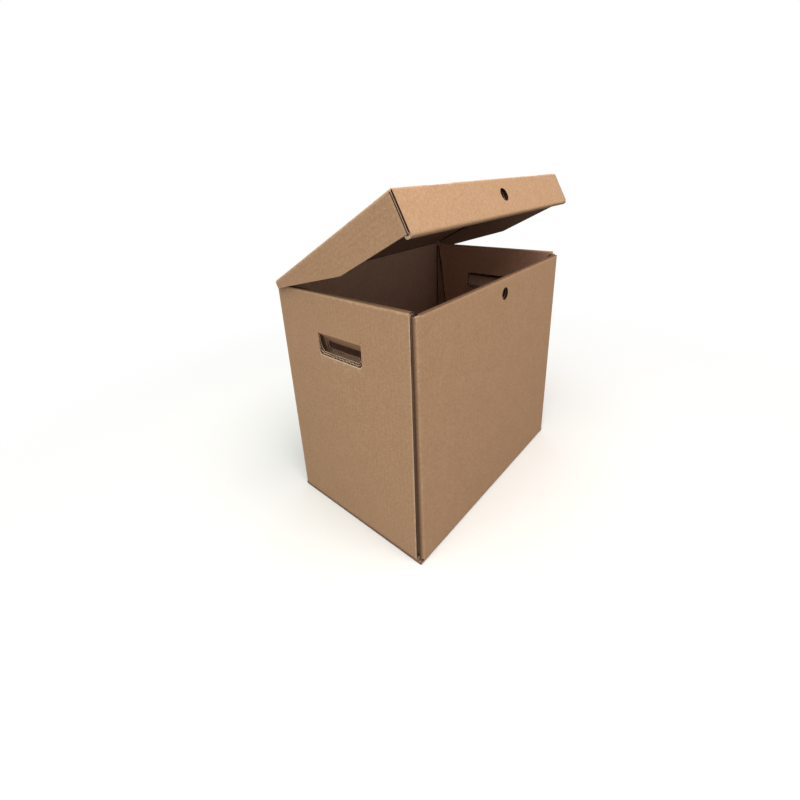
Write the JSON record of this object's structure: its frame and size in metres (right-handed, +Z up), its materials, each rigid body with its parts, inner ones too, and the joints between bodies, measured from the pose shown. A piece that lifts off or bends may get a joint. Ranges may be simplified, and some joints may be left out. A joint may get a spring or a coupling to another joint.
{
  "type": "archive box",
  "caption": "Corrugated board archive box with a hinged lid, rolled top edges, turned-in inner walls and hand holes whose flaps push inwards; it stores upright files.",
  "frame": {"origin": "middle of the base, on the floor", "axes": "+Z up, -Y towards the front with the tie hole, +X to the right seen from the front"},
  "size_m": [0.3934, 0.2496, 0.4714],
  "materials": {
    "kraft_board": "uncoated brown kraft liner on fluted board"
  },
  "bodies": {
    "box": {"front_wall": "kraft_board", "back_wall": "kraft_board", "left_wall": "kraft_board", "right_wall": "kraft_board", "glue_flap": "kraft_board", "front_top_edge": "kraft_board", "front_inner_wall": "kraft_board", "left_top_edge": "kraft_board", "left_inner_wall": "kraft_board", "right_top_edge": "kraft_board", "right_inner_wall": "kraft_board", "bottom_front_flap": "kraft_board", "bottom_back_flap": "kraft_board", "bottom_left_flap": "kraft_board", "bottom_right_flap": "kraft_board"},
    "lid": {"lid_top": "kraft_board", "lid_left_flap": "kraft_board", "lid_right_flap": "kraft_board", "lid_left_ear": "kraft_board", "lid_right_ear": "kraft_board", "lid_front_flap": "kraft_board", "lid_front_edge": "kraft_board", "lid_front_inner": "kraft_board"},
    "left_hand": {"left_hand_flap": "kraft_board"},
    "right_hand": {"right_hand_flap": "kraft_board"}
  },
  "joints": [
    {"name": "lid_hinge", "type": "hinge", "parent": "box", "child": "lid", "pos_m": [0, 0.1225, 0.354], "axis": [-1, 0, 0], "range_deg": [-27.6, 232.4]},
    {"name": "left_hand_crease", "type": "hinge", "parent": "box", "child": "left_hand", "pos_m": [-0.1925, 0, 0.2945], "axis": [0, -1, 0], "range_deg": [-45, 30]},
    {"name": "right_hand_crease", "type": "hinge", "parent": "box", "child": "right_hand", "pos_m": [0.1925, 0, 0.2945], "axis": [0, 1, 0], "range_deg": [-45, 30]}
  ]
}
